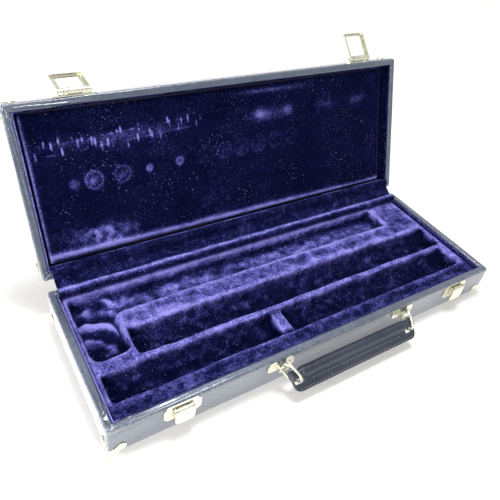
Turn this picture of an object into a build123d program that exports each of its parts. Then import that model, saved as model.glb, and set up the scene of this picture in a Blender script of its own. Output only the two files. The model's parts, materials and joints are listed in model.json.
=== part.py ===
from build123d import *
import os
from math import cos, radians, sin, tan

# A hard-shell flute case, lid open. The tray stands on Z = 0 with the origin at the centre of its
# underside, X along the case, +Y towards the hinges, Z up. All sizes are in millimetres.

# --- shells -------------------------------------------------------------------------------------
case_length = 400.0
case_depth = 144.0
tray_height = 29.5
lid_height = 20.5
cover_t = 0.8          # vinyl cloth over the boards
board_t = 5.0          # wooden side boards
panel_t = 3.0          # plywood floor and lid panels
corner_r = 3.0         # upright outer corners
edge_r = 2.0           # outer edge round the floor or lid panel
rim_r = 1.6            # outer edge round the rim
rim_gap = 0.5          # between the two rims when shut
open_angle = 110.7     # how far the lid stands open

# --- velvet -------------------------------------------------------------------------------------
lining_t = 1.4         # velvet on the inner walls
lining_drop = 1.5      # top of the wall velvet below the rim
plush_t = 1.6          # velvet over the moulded bed
bed_drop = 4.5         # ridges of the bed below the rim
ridge_r = 1.8
lid_pad_drop = 10.0    # face of the lid pad below the rim
lid_pad_r = 2.5
pad_card_t = 1.5
gusset_t = 1.2
gusset_clear = 0.5     # gusset above the two rear rims

# --- recesses in the bed ------------------------------------------------------------------------
end_wall = 4.5         # plush between a recess and the end or back of the bed
recess_r = 3.0
groove_base = 4.2      # bed left under the two grooves
front_groove_lip = 4.0 # upright part of the groove's walls
front_groove_in = 28.5 # middle of the groove from the front of the bed
front_end_wall = 10.0
foot_recess_length = 150.5
divider_w = 11.0       # saddle between the foot joint and the head joint
divider_drop = 3.0
body_groove_lip = 3.0
groove_pitch = 33.0    # from the front groove to the body groove
pocket_w = 30.0        # left of the body groove
pocket_gap = 4.0
pocket_back = 6.5      # pocket's front edge before the middle of the body groove
pocket_base = 5.2
channel_back = 35.0    # rod channel's front edge behind the middle of the body groove
channel_end_wall = 40.0
channel_base = 8.7

# --- nails and corner guards --------------------------------------------------------------------
nail_head_r = 1.3
nail_head_h = 0.5
nail_r = 0.6
nail_length = 4.0      # below the head
guard_t = 0.6
guard_reach = 16.0
tongue_along = 9.6     # centre of a guard's tongue from the upright corner
tongue_up = 6.6        # and above the panel
tongue_r = 3.7
tongue_slant = 53.0    # where its straight sides meet its round end, in degrees
heel_length = 7.6
heel_height = 3.8

# --- hinges -------------------------------------------------------------------------------------
hinge_offset = 4.6     # pin behind the rear walls
hinge_inset = 82.0     # middle of a hinge from the end of the case
hinge_w = 36.0
hinge_t = 0.8
hinge_leaf_h = 13.0
hinge_leaf_drop = 2.6  # leaf below the rim
hinge_arm_h = 2.2
hinge_pin_r = 1.2
hinge_knuckle_r = 2.4
hinge_arm_back = 0.75   # where an arm meets its knuckle, in shares of the knuckle's radius
hinge_arm_under = 0.95
hinge_knuckle_w = 10.0
hinge_gap = 0.3
running_fit = 0.05

# --- bails on the lid ---------------------------------------------------------------------------
latch_left_inset = 56.0    # middle of a latch from the end of the case
latch_right_inset = 49.0
bail_plate_w = 34.0
bail_plate_h = 8.0
bail_plate_t = 0.8
bail_plate_drop = 1.2
bail_plate_cut = 2.4
bail_notch_w = 12.0
bail_notch_h = 1.2
bail_nail_side = 14.9
bail_pin_drop = 4.3    # bail pin from the lid's rim
bail_pin_out = 3.6     # and from the lid's front wall
bail_pin_r = 1.1
bail_barrel_r = 3.0
bail_barrel_w = 17.2
bail_barrel_foot = 2.6
bail_window_w = 18.0
bail_leg = 4.2
bail_strip = 2.4
bail_t = 0.9
bail_flange_t = 0.8
bail_wall_gap = 1.7    # bail in front of the tray's front wall when shut
bail_front = 4.5       # front of the shut bail from that wall
bail_eye_r = 2.5
bail_reach = 25.0      # pin to the middle of the crossbar
bail_corner_r = 2.6
bail_left_lean = 3.0  # above the horizontal, leaning back
bail_right_lean = 45.0
hook_gap = 0.4         # crossbar below the shut lever

# --- levers on the tray -------------------------------------------------------------------------
latch_plate_w = 30.0
latch_plate_h = 15.0
latch_plate_t = 0.8
latch_plate_drop = 1.4
latch_plate_cut = 3.0
latch_nail_side = 12.6
latch_nail_drop = 10.5
lever_pin_drop = 5.0
lever_pin_out = 3.1
lever_pin_r = 0.75
lever_head_r = 2.0
lever_w = 16.0
lever_t = 0.6
lever_side_t = 0.7
lever_back_gap = 0.4   # lever's sides in front of the plate
lever_foot_r = 4.0
lug_t = 0.7
lug_r = 1.15
lug_gap = 0.4

# --- handle -------------------------------------------------------------------------------------
bracket_left_out = 2.0     # middle of the bracket beyond the grip's end
bracket_right_out = -1.0
bracket_drop = 7.5     # middle of the brackets below the rim
bracket_w = 25.0
bracket_ear_h = 10.0
bracket_t = 1.0
bracket_cut = 2.0
bracket_nail_side = 8.9
bridge_h = 5.0
bridge_w = 7.6         # inside
bridge_out = 5.6
ring_wire_r = 1.15
ring_r = 6.2
ring_wall_gap = 0.35
ring_reach = 5.6       # between the centres of a ring's two ends
ring_left_shift = 2.5  # ring's inner end from the middle of its bracket
ring_right_shift = -1.5
ring_left_slant = 30.0
ring_right_slant = -10.0
handle_droop = 38.0
grip_length = 135.0
grip_x = 11.5
roll_r = 4.7
roll_waist_r = 3.9     # where a ring passes round the roll
grip_core_r = 2.7
grip_cap = 3.0
flap_reach = 14.5
flap_t = 3.4
flap_edge_r = 1.5
flap_corner_r = 7.0
slot_gap = 0.45
slot_end = 1.6
slot_length = 9.0

# --- worked out from the above ------------------------------------------------------------------
wall = board_t + 2 * cover_t
shell_floor = cover_t + panel_t
inner_length = case_length - 2 * wall
inner_depth = case_depth - 2 * wall
bed_length = inner_length - 2 * lining_t
bed_depth = inner_depth - 2 * lining_t
bed_top = tray_height - bed_drop
rear_y = case_depth / 2
front_y = -case_depth / 2
hinge_x = case_length / 2 - hinge_inset
latch_left_x = latch_left_inset - case_length / 2
latch_right_x = case_length / 2 - latch_right_inset
bracket_left_x = grip_x - grip_length / 2 - bracket_left_out
bracket_right_x = grip_x + grip_length / 2 + bracket_right_out
hinge_y = rear_y + hinge_offset
hinge_z = tray_height + rim_gap / 2
turn = radians(open_angle)


def opened(y, z):
    """Where the point (y, z) of the shut lid lies once the lid stands open."""
    dy = y - hinge_y
    dz = z - hinge_z
    return (hinge_y + dy * cos(turn) + dz * sin(turn), hinge_z - dy * sin(turn) + dz * cos(turn))


# Both shells are drawn alike: panel at the bottom, rim at the top of the local Z axis. The lid's
# local Y points away from its hinges, so its front is at +Y and the tray's is at -Y.
tray_plane = Plane.XY
lid_plane = Plane(
    origin=(0, *opened(0, tray_height + rim_gap + lid_height)),
    x_dir=(1, 0, 0),
    z_dir=(0, -sin(turn), -cos(turn)),
)


def on(base, origin, x_dir=(1, 0, 0), z_dir=(0, 0, 1)):
    """A plane given in the local coordinates of another one."""
    start = base.from_local_coords(Vector(0, 0, 0))
    return Plane(
        origin=base.from_local_coords(Vector(*origin)),
        x_dir=base.from_local_coords(Vector(*x_dir)) - start,
        z_dir=base.from_local_coords(Vector(*z_dir)) - start,
    )


def side_on(base, x, y, z):
    """A plane across the case: local X points along the base's Y, local Y along its Z."""
    return on(base, (x, y, z), (0, 1, 0), (1, 0, 0))


def save(piece, name):
    piece.part.label = name
    export_step(piece.part, f"parts/{name}.step")


os.makedirs("parts", exist_ok=True)


# --- nails --------------------------------------------------------------------------------------
def nails(seats):
    """Dome-headed nails, each on a plane that lies on its seat and faces outwards."""
    with BuildPart() as group:
        for seat in seats:
            with BuildSketch(seat):
                Circle(nail_head_r)
            extrude(amount=nail_head_h, taper=30)
            with BuildSketch(seat):
                Circle(nail_r)
            extrude(amount=-nail_length)
    return group


# --- corner guards ------------------------------------------------------------------------------
def tongue(face, along, up, flip):
    """Outline of one of a guard's three lobes; flip is 1 or -1, the way up on this face."""
    shift = tongue_r * cos(radians(tongue_slant))
    drop = tongue_r * sin(radians(tongue_slant))
    with BuildSketch(face) as outline:
        with Locations((along, flip * up)):
            Circle(tongue_r)
        with Locations((heel_length / 2 - guard_t, flip * (heel_height / 2 - guard_t))):
            Rectangle(heel_length + 2 * guard_t, heel_height + 2 * guard_t)
        with BuildLine():
            Polyline(
                (0, 0),
                (along + shift, flip * (up - drop)),
                (along - shift, flip * (up + drop)),
                (0, flip * heel_height),
                close=True,
            )
        make_face()
    return outline


def corner_faces(base, side, end, out):
    """Planes on the three faces at one lower corner, each offset outwards, and their flips."""
    x = side * case_length / 2
    y = end * case_depth / 2
    flip = side * end
    return (
        (on(base, (x, y + end * out, 0), (-side, 0, 0), (0, end, 0)), tongue_along, tongue_up, flip),
        (on(base, (x + side * out, y, 0), (0, -end, 0), (side, 0, 0)), tongue_along, tongue_up, -flip),
        (on(base, (x, y, -out), (-side, 0, 0), (0, 0, -1)), tongue_along, tongue_along, -flip),
    )


def guard_nail_seats(base):
    seats = []
    for side in (-1, 1):
        for end in (-1, 1):
            for face, along, up, flip in corner_faces(base, side, end, guard_t)[:2]:
                seats.append(on(face, (along, flip * up, 0)))
    return seats


def guard(base, side, end, fixings):
    """A thin cap pressed over one corner, cut to three tongues."""
    with BuildPart() as skin:
        with BuildSketch(base):
            RectangleRounded(case_length + 2 * guard_t, case_depth + 2 * guard_t, corner_r + guard_t)
        extrude(amount=guard_reach)
        fillet(skin.edges().group_by(Axis(base.origin, base.z_dir))[0], edge_r + guard_t)
    with BuildPart() as inside:
        with BuildSketch(base.offset(guard_t)):
            RectangleRounded(case_length, case_depth, corner_r)
        extrude(amount=guard_reach)
        fillet(inside.edges().group_by(Axis(base.origin, base.z_dir))[0], edge_r)
    with BuildPart() as cap:
        for face, along, up, flip in corner_faces(base, side, end, 2 * guard_t):
            outline = tongue(face, along, up, flip)
            extrude(outline.sketch, amount=-heel_height)
        add(skin.part, mode=Mode.INTERSECT)
        add(inside.part, mode=Mode.SUBTRACT)
        add(fixings.part, mode=Mode.SUBTRACT)
    return cap


# --- shells -------------------------------------------------------------------------------------
def panel(base, fixings):
    with BuildPart() as slab:
        with BuildSketch(base.offset(cover_t)):
            RectangleRounded(case_length - 2 * cover_t, case_depth - 2 * cover_t, corner_r - cover_t)
        extrude(amount=panel_t)
        fillet(slab.edges().group_by(Axis(base.origin, base.z_dir))[0], edge_r - cover_t)
        add(fixings.part, mode=Mode.SUBTRACT)
    return slab


def board(base, height, x, y, length, depth, fixings):
    with BuildPart() as plank:
        with BuildSketch(base.offset(shell_floor)):
            RectangleRounded(case_length - 2 * cover_t, case_depth - 2 * cover_t, corner_r - cover_t)
            with Locations((x, y)):
                Rectangle(length, depth, mode=Mode.INTERSECT)
        extrude(amount=height - shell_floor - cover_t)
        for group in fixings:
            add(group.part, mode=Mode.SUBTRACT)
    return plank


def cover(base, height, inner_pieces):
    with BuildPart() as cloth:
        with BuildSketch(base):
            RectangleRounded(case_length, case_depth, corner_r)
        extrude(amount=height)
        fillet(cloth.edges().group_by(Axis(base.origin, base.z_dir))[0], edge_r)
        fillet(cloth.edges().group_by(Axis(base.origin, base.z_dir))[-1], rim_r)
        with BuildSketch(base.offset(shell_floor)):
            Rectangle(inner_length, inner_depth)
        extrude(amount=height, mode=Mode.SUBTRACT)
        for piece in inner_pieces:
            add(piece.part, mode=Mode.SUBTRACT)
    return cloth


def wall_lining(base, height):
    with BuildPart() as velvet:
        with BuildSketch(base.offset(shell_floor)):
            Rectangle(inner_length, inner_depth)
            Rectangle(bed_length, bed_depth, mode=Mode.SUBTRACT)
        extrude(amount=height - shell_floor - lining_drop)
    return velvet


def shell(base, height, name, front, hardware_nails):
    """Cover, boards, panel, lining, guards and guard nails of one shell."""
    guard_nails = nails(guard_nail_seats(base))
    fixings = (guard_nails, *hardware_nails)
    long_y = case_depth / 2 - cover_t - board_t / 2
    side_x = case_length / 2 - cover_t - board_t / 2
    side_depth = case_depth - 2 * cover_t - 2 * board_t
    pieces = {
        f"{name}_front_board": board(base, height, 0, front * long_y, case_length, board_t, fixings),
        f"{name}_rear_board": board(base, height, 0, -front * long_y, case_length, board_t, fixings),
        f"{name}_left_board": board(base, height, -side_x, 0, board_t, side_depth, fixings),
        f"{name}_right_board": board(base, height, side_x, 0, board_t, side_depth, fixings),
        f"{name}_panel": panel(base, guard_nails),
    }
    for side, side_name in ((-1, "left"), (1, "right")):
        for end, end_name in ((front, "front"), (-front, "rear")):
            pieces[f"{name}_guard_{end_name}_{side_name}"] = guard(base, side, end, guard_nails)
    pieces[f"{name}_cover"] = cover(base, height, (*pieces.values(), *fixings))
    pieces[f"{name}_wall_lining"] = wall_lining(base, height)
    pieces[f"{name}_guard_nails"] = guard_nails
    for piece_name, piece in pieces.items():
        save(piece, piece_name)


# --- hinges -------------------------------------------------------------------------------------
# Seen along the hinge pin: the pin at the origin, the shell's rear wall at -hinge_offset and the
# shell below. The lid's plane is the tray's mirrored in the shut joint and swung open.
def hinge_plane(x, lid):
    if lid:
        return Plane(origin=(x, hinge_y, hinge_z), x_dir=(0, cos(turn), -sin(turn)), z_dir=(-1, 0, 0))
    return Plane(origin=(x, hinge_y, hinge_z), x_dir=(0, 1, 0), z_dir=(1, 0, 0))


leaf_top = -rim_gap / 2 - hinge_leaf_drop
leaf_mid = leaf_top - hinge_leaf_h / 2


def hinge_nail_seats(lid):
    seats = []
    for x in (-hinge_x, hinge_x):
        for step in (-1, 0, 1):
            plane = hinge_plane(x, lid)
            shift = step * hinge_w / 3
            seat = (hinge_t - hinge_offset, leaf_mid - hinge_arm_h / 2, shift)
            seats.append(on(plane, seat, (0, 1, 0), (1, 0, 0)))
    return seats


def hinge_leaf(x, lid, knuckles, fixings):
    """A leaf on the rear wall with an arm out to each of its knuckles, given as (shift, width)."""
    plane = hinge_plane(x, lid)
    bore = hinge_pin_r + (running_fit if lid else 0)
    with BuildPart() as leaf:
        with BuildSketch(plane):
            with Locations((hinge_t / 2 - hinge_offset, leaf_mid)):
                Rectangle(hinge_t, hinge_leaf_h)
        extrude(amount=hinge_w / 2, both=True)
        for shift, width in knuckles:
            with BuildSketch(plane.offset(shift)):
                Circle(hinge_knuckle_r)
                with BuildLine():
                    Polyline(
                        (-hinge_offset, leaf_top - hinge_arm_h),
                        (-hinge_offset, leaf_top),
                        (-hinge_knuckle_r * hinge_arm_back, 0),
                        (0, -hinge_knuckle_r * hinge_arm_under),
                        close=True,
                    )
                make_face()
                Circle(bore, mode=Mode.SUBTRACT)
            extrude(amount=width / 2, both=True)
        add(fixings.part, mode=Mode.SUBTRACT)
    return leaf


outer_shift = (hinge_w - hinge_knuckle_w) / 2
middle_w = hinge_w - 2 * hinge_knuckle_w - 2 * hinge_gap
tray_hinge_nails = nails(hinge_nail_seats(False))
lid_hinge_nails = nails(hinge_nail_seats(True))
for x, side_name in ((-hinge_x, "left"), (hinge_x, "right")):
    ends = ((-outer_shift, hinge_knuckle_w), (outer_shift, hinge_knuckle_w))
    save(hinge_leaf(x, False, ends, tray_hinge_nails), f"tray_hinge_leaf_{side_name}")
    save(hinge_leaf(x, True, ((0, middle_w),), lid_hinge_nails), f"lid_hinge_leaf_{side_name}")
    with BuildPart() as hinge_pin:
        with BuildSketch(hinge_plane(x, False)):
            Circle(hinge_pin_r)
        extrude(amount=hinge_w / 2, both=True)
    save(hinge_pin, f"hinge_pin_{side_name}")
save(tray_hinge_nails, "tray_hinge_nails")
save(lid_hinge_nails, "lid_hinge_nails")

# --- bails --------------------------------------------------------------------------------------
lid_front = case_depth / 2
bail_pin_z = lid_height - bail_pin_drop
bail_half = bail_window_w / 2 + bail_leg
bail_end = bail_reach + bail_strip / 2


def bail_plate_mid(x):
    """On the lid's front wall, local Y towards the panel."""
    drop = bail_plate_drop + bail_plate_h / 2
    return on(lid_plane, (x, lid_front, lid_height - drop), (1, 0, 0), (0, 1, 0))


bail_nail_seats = []
for x in (latch_left_x, latch_right_x):
    for side in (-bail_nail_side, bail_nail_side):
        bail_nail_seats.append(on(bail_plate_mid(x), (side, 0, bail_plate_t)))
bail_nails = nails(bail_nail_seats)


def bail_plate(x):
    plane = bail_plate_mid(x)
    across = side_on(lid_plane, x, lid_front + bail_pin_out, bail_pin_z)
    with BuildPart() as plate:
        with BuildSketch(plane):
            plate_face = Rectangle(bail_plate_w, bail_plate_h)
            chamfer(plate_face.vertices(), bail_plate_cut)
            with Locations((0, (bail_notch_h - bail_plate_h) / 2)):
                Rectangle(bail_notch_w, bail_notch_h, mode=Mode.SUBTRACT)
        extrude(amount=bail_plate_t)
        with BuildSketch(across):
            Circle(bail_barrel_r)
            with Locations((-bail_pin_out / 2, 0)):
                Rectangle(bail_pin_out, bail_barrel_foot)
        extrude(amount=bail_barrel_w / 2, both=True)
        with BuildSketch(across):
            Circle(bail_pin_r)
        extrude(amount=bail_barrel_w, both=True, mode=Mode.SUBTRACT)
        add(bail_nails.part, mode=Mode.SUBTRACT)
    return plate


def bail(x, lean):
    """Local Y runs from the pin to the crossbar; local Z faces the wall when the bail is shut."""
    pivot = lid_plane.from_local_coords(Vector(x, lid_front + bail_pin_out, bail_pin_z))
    angle = radians(lean)
    plane = Plane(origin=pivot, x_dir=(1, 0, 0), z_dir=(0, -sin(angle), cos(angle)))
    across = side_on(plane, 0, 0, 0)
    front = bail_pin_out - bail_front
    back = bail_pin_out - bail_wall_gap
    with BuildPart() as frame:
        with BuildSketch(plane.offset(front)):
            with Locations((0, bail_end / 2)):
                blank = Rectangle(2 * bail_half, bail_end)
            fillet(blank.vertices().group_by(Axis(plane.origin, (0, 1, 0)))[-1], bail_corner_r)
            with Locations((0, (bail_end - bail_strip) / 2)):
                Rectangle(bail_window_w, bail_end - bail_strip, mode=Mode.SUBTRACT)
        extrude(amount=bail_t)
        with BuildSketch(plane.offset(front)):
            with Locations((0, bail_end / 2)):
                blank = Rectangle(2 * bail_half, bail_end)
            fillet(blank.vertices().group_by(Axis(plane.origin, (0, 1, 0)))[-1], bail_corner_r)
            with Locations((0, (bail_end - bail_flange_t) / 2)):
                Rectangle(2 * (bail_half - bail_flange_t), bail_end - bail_flange_t, mode=Mode.SUBTRACT)
        extrude(amount=back - front)
        for side in (-1, 1):
            with BuildSketch(across.offset(side * (bail_half - bail_leg / 2))):
                Circle(bail_eye_r)
            extrude(amount=bail_leg / 2, both=True)
        with BuildSketch(across):
            Circle(bail_pin_r + running_fit)
        extrude(amount=bail_half + bail_t, both=True, mode=Mode.SUBTRACT)
    return frame


for x, lean, side_name in (
    (latch_left_x, bail_left_lean, "left"),
    (latch_right_x, bail_right_lean, "right"),
):
    save(bail_plate(x), f"bail_plate_{side_name}")
    save(bail(x, lean), f"bail_{side_name}")
    with BuildPart() as bail_pin:
        with BuildSketch(side_on(lid_plane, x, lid_front + bail_pin_out, bail_pin_z)):
            Circle(bail_pin_r)
        extrude(amount=bail_half + bail_pin_r / 4, both=True)
    save(bail_pin, f"bail_pin_{side_name}")
save(bail_nails, "bail_plate_nails")

# --- levers -------------------------------------------------------------------------------------
lever_pin_z = tray_height - lever_pin_drop
lever_pin_y = front_y - lever_pin_out
shut_bail_pin_z = tray_height + rim_gap + bail_pin_drop
lever_foot_z = shut_bail_pin_z - bail_reach + bail_strip / 2 + hook_gap
lever_length = lever_pin_z - lever_foot_z
lever_inner = lever_w / 2 - lever_side_t
latch_plate_z = tray_height - latch_plate_drop - latch_plate_h / 2


def tray_front(x, z):
    """On the tray's front wall, local Y up."""
    return Plane(origin=(x, front_y, z), x_dir=(1, 0, 0), z_dir=(0, -1, 0))


def lever_across(x):
    """Across the lever at its pin: local X towards the wall, local Y up."""
    return Plane(origin=(x, lever_pin_y, lever_pin_z), x_dir=(0, 1, 0), z_dir=(1, 0, 0))


latch_nail_seats = []
for x in (latch_left_x, latch_right_x):
    for side in (-latch_nail_side, latch_nail_side):
        seat = tray_front(x + side, tray_height - latch_nail_drop)
        latch_nail_seats.append(seat.offset(latch_plate_t))
latch_nails = nails(latch_nail_seats)


def latch_plate(x):
    lug_x = lever_inner - lug_gap - lug_t / 2
    with BuildPart() as plate:
        with BuildSketch(tray_front(x, latch_plate_z)):
            plate_face = Rectangle(latch_plate_w, latch_plate_h)
            chamfer(plate_face.vertices(), latch_plate_cut)
        extrude(amount=latch_plate_t)
        for side in (-1, 1):
            with BuildSketch(lever_across(x).offset(side * lug_x)):
                Circle(lug_r)
                with Locations((lever_pin_out / 2, 0)):
                    Rectangle(lever_pin_out, 2 * lug_r)
                Circle(lever_pin_r, mode=Mode.SUBTRACT)
            extrude(amount=lug_t / 2, both=True)
        add(latch_nails.part, mode=Mode.SUBTRACT)
    return plate


def lever(x):
    """A folded lever hanging from its pin: rolled head, face and two side walls."""
    across = lever_across(x)
    back = lever_pin_out - latch_plate_t - lever_back_gap
    face_out = lever_head_r - lever_t
    with BuildPart() as tab:
        with BuildSketch(tray_front(x, lever_pin_z - lever_length / 2).offset(lever_pin_out + face_out)):
            face = Rectangle(lever_w, lever_length)
            fillet(face.vertices().group_by(Axis.Z)[0], lever_foot_r)
        extrude(amount=lever_t)
        with BuildSketch(across):
            Circle(lever_head_r)
        extrude(amount=lever_w / 2, both=True)
        for side in (-1, 1):
            with BuildSketch(across.offset(side * (lever_inner - lug_gap - lug_t / 2))):
                Rectangle(3 * lever_head_r, 3 * lever_head_r)
                with Locations((-lever_head_r + lever_t / 2, 0)):
                    Rectangle(lever_t, 3 * lever_head_r, mode=Mode.SUBTRACT)
            extrude(amount=lug_t / 2 + lug_gap, both=True, mode=Mode.SUBTRACT)
            with BuildSketch(across.offset(side * (lever_inner + lever_side_t / 2))):
                with BuildLine():
                    Polyline(
                        (-lever_head_r, 0),
                        (back, 0),
                        (back, -lever_length / 2),
                        (-face_out, lever_foot_r - lever_length),
                        (-lever_head_r, lever_foot_r - lever_length),
                        close=True,
                    )
                make_face()
            extrude(amount=lever_side_t / 2, both=True)
        with BuildSketch(across):
            Circle(lever_pin_r + running_fit)
        extrude(amount=lever_w, both=True, mode=Mode.SUBTRACT)
    return tab


for x, side_name in ((latch_left_x, "left"), (latch_right_x, "right")):
    save(latch_plate(x), f"latch_plate_{side_name}")
    save(lever(x), f"lever_{side_name}")
    with BuildPart() as lever_pin:
        with BuildSketch(lever_across(x)):
            Circle(lever_pin_r)
        extrude(amount=lever_w / 2 + lever_pin_r / 2, both=True)
    save(lever_pin, f"lever_pin_{side_name}")
save(latch_nails, "latch_nails")

# --- handle -------------------------------------------------------------------------------------
bracket_z = tray_height - bracket_drop
ring_axis_y = front_y - ring_wall_gap - ring_wire_r - ring_r
droop = radians(handle_droop)
reach_out = ring_reach * cos(droop)
reach_down = ring_reach * sin(droop)
grip_y = ring_axis_y - reach_out
grip_z = bracket_z - reach_down

bracket_nail_seats = []
for x in (bracket_left_x, bracket_right_x):
    for side in (-bracket_nail_side, bracket_nail_side):
        bracket_nail_seats.append(tray_front(x + side, bracket_z).offset(bracket_t))
bracket_nails = nails(bracket_nail_seats)


def bracket(x):
    """Two ears on the wall and a bridge between them, open above and below."""
    outer = bridge_w + 2 * bracket_t
    with BuildPart() as loop:
        with BuildSketch(tray_front(x, bracket_z)):
            ears = Rectangle(bracket_w, bracket_ear_h)
            chamfer(ears.vertices(), bracket_cut)
            Rectangle(outer - bracket_t, bracket_ear_h, mode=Mode.SUBTRACT)
        extrude(amount=bracket_t)
        with BuildSketch(Plane.XY.offset(bracket_z)):
            with Locations((x, front_y - bridge_out / 2)):
                Rectangle(outer, bridge_out)
            with Locations((x, front_y - (bridge_out - bracket_t) / 2)):
                Rectangle(bridge_w, bridge_out - bracket_t, mode=Mode.SUBTRACT)
        extrude(amount=bridge_h / 2, both=True)
        add(bracket_nails.part, mode=Mode.SUBTRACT)
    return loop


def ring(x, slant):
    """A long wire ring in an upright plane, turned by slant from the square to the wall."""
    turned = radians(slant)
    far_x = x + reach_out * tan(turned)
    run = Vector(far_x - x, -reach_out, -reach_down)
    across = Vector(cos(turned), sin(turned), 0)
    rise = across.cross(run.normalized())
    with BuildPart() as wire:
        for centre, flip in ((Vector(x, ring_axis_y, bracket_z), 1), (Vector(far_x, grip_y, grip_z), -1)):
            top = centre + rise * ring_r
            with BuildSketch(Plane(origin=top, x_dir=across, z_dir=run)):
                Circle(ring_wire_r)
            revolve(axis=Axis(centre, across * flip), revolution_arc=180)
        for side in (-1, 1):
            start = Vector(x, ring_axis_y, bracket_z) + rise * (side * ring_r)
            with BuildSketch(Plane(origin=start, x_dir=across, z_dir=run)):
                Circle(ring_wire_r)
            extrude(amount=run.length)
    return wire


# Seen along the roll: the roll's centre at the origin, local X away from the case.
def grip_plane(x):
    return Plane(origin=(x, grip_y, grip_z), x_dir=(0, -cos(droop), -sin(droop)), z_dir=(1, 0, 0))


with BuildPart() as grip_core:
    with BuildSketch(grip_plane(grip_x)):
        Circle(grip_core_r)
    extrude(amount=grip_length / 2 - grip_cap, both=True)

slot_shift = grip_length / 2 - slot_end - slot_length / 2
slot_outer_r = ring_r + ring_wire_r + slot_gap
grip_centre = (grip_x, grip_y, grip_z)
flap_normal = (0, -sin(droop), cos(droop))
with BuildPart() as grip_cover:
    with BuildSketch(grip_plane(grip_x)):
        with Locations((flap_reach / 2, 0)):
            RectangleRounded(flap_reach, flap_t, flap_edge_r)
        Circle(roll_r)
    extrude(amount=grip_length / 2, both=True)
    with BuildSketch(Plane(origin=grip_centre, x_dir=(1, 0, 0), z_dir=flap_normal)):
        with Locations((0, (roll_r - flap_reach) / 2)):
            outline = Rectangle(grip_length, roll_r + flap_reach)
        fillet(outline.vertices().group_by(Axis.Y)[0], flap_corner_r)
    extrude(amount=roll_r, both=True, mode=Mode.INTERSECT)
    for side in (-1, 1):
        with BuildSketch(grip_plane(grip_x + side * slot_shift)):
            Circle(slot_outer_r)
            Circle(roll_waist_r, mode=Mode.SUBTRACT)
        extrude(amount=slot_length / 2, both=True, mode=Mode.SUBTRACT)
    add(grip_core.part, mode=Mode.SUBTRACT)

for x, shift, slant, side_name in (
    (bracket_left_x, ring_left_shift, ring_left_slant, "left"),
    (bracket_right_x, ring_right_shift, ring_right_slant, "right"),
):
    save(bracket(x), f"bracket_{side_name}")
    save(ring(x + shift, slant), f"ring_{side_name}")
save(bracket_nails, "bracket_nails")
save(grip_core, "grip_core")
save(grip_cover, "grip_cover")

# --- the two shells -----------------------------------------------------------------------------
shell(tray_plane, tray_height, "tray", -1, (latch_nails, bracket_nails, tray_hinge_nails))
shell(lid_plane, lid_height, "lid", 1, (bail_nails, lid_hinge_nails))

# --- moulded bed --------------------------------------------------------------------------------
left_end = end_wall - bed_length / 2
right_end = bed_length / 2 - end_wall
back_end = bed_depth / 2 - end_wall
foot_right = left_end + foot_recess_length
head_left = foot_right + divider_w
head_right = bed_length / 2 - front_end_wall
body_left = left_end + pocket_w + pocket_gap
channel_right = bed_length / 2 - channel_end_wall
front_groove_y = front_groove_in - bed_depth / 2
body_groove_y = front_groove_y + groove_pitch
groove_floor = shell_floor + groove_base
front_groove_r = bed_top - groove_floor - front_groove_lip
body_groove_r = bed_top - groove_floor - body_groove_lip
pocket_front = body_groove_y - pocket_back
channel_front = body_groove_y + channel_back
pocket_floor = shell_floor + pocket_base
channel_floor = shell_floor + channel_base


def bed(grow):
    """The bed with every recess widened, and its ridges lowered, by grow."""
    top = bed_top - grow
    with BuildPart() as block:
        with BuildSketch(Plane.XY.offset(shell_floor)):
            Rectangle(bed_length, bed_depth)
        extrude(amount=top - shell_floor)
        for left, right, y, radius in (
            (left_end, foot_right, front_groove_y, front_groove_r),
            (head_left, head_right, front_groove_y, front_groove_r),
            (body_left, right_end, body_groove_y, body_groove_r),
        ):
            axis_z = groove_floor + radius
            with BuildSketch(side_on(Plane.XY, left - grow, y, axis_z)):
                Circle(radius + grow)
                with Locations((0, radius)):
                    Rectangle(2 * (radius + grow), 2 * radius)
            extrude(amount=right - left + 2 * grow, mode=Mode.SUBTRACT)
        with BuildSketch(Plane.XY.offset(top - divider_drop)):
            with Locations(((foot_right + head_left) / 2, front_groove_y)):
                Rectangle(2 * divider_w, 2 * (front_groove_r + grow))
        extrude(amount=divider_drop, mode=Mode.SUBTRACT)
        for left, right, front, depth in (
            (left_end, left_end + pocket_w, pocket_front, pocket_floor),
            (left_end, channel_right, channel_front, channel_floor),
        ):
            with BuildSketch(Plane.XY.offset(depth - grow)):
                with Locations(((left + right) / 2, (front + back_end) / 2)):
                    RectangleRounded(right - left + 2 * grow, back_end - front + 2 * grow, recess_r + grow)
            extrude(amount=top, mode=Mode.SUBTRACT)
    return block


bed_core = bed(plush_t)
with BuildPart() as bed_plush:
    add(bed(0).part)
    fillet(bed_plush.edges().filter_by_position(Axis.Z, bed_top, bed_top), ridge_r)
    add(bed_core.part, mode=Mode.SUBTRACT)
save(bed_core, "bed_core")
save(bed_plush, "bed_plush")

# --- lid pad ------------------------------------------------------------------------------------
with BuildPart() as pad_card:
    with BuildSketch(lid_plane.offset(shell_floor)):
        Rectangle(bed_length, bed_depth)
    extrude(amount=pad_card_t)
save(pad_card, "lid_pad_card")

with BuildPart() as lid_pad:
    with BuildSketch(lid_plane.offset(shell_floor + pad_card_t)):
        Rectangle(bed_length, bed_depth)
    extrude(amount=lid_height - lid_pad_drop - shell_floor - pad_card_t)
    fillet(lid_pad.edges().group_by(Axis(lid_plane.origin, lid_plane.z_dir))[-1], lid_pad_r)
save(lid_pad, "lid_pad")

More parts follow.
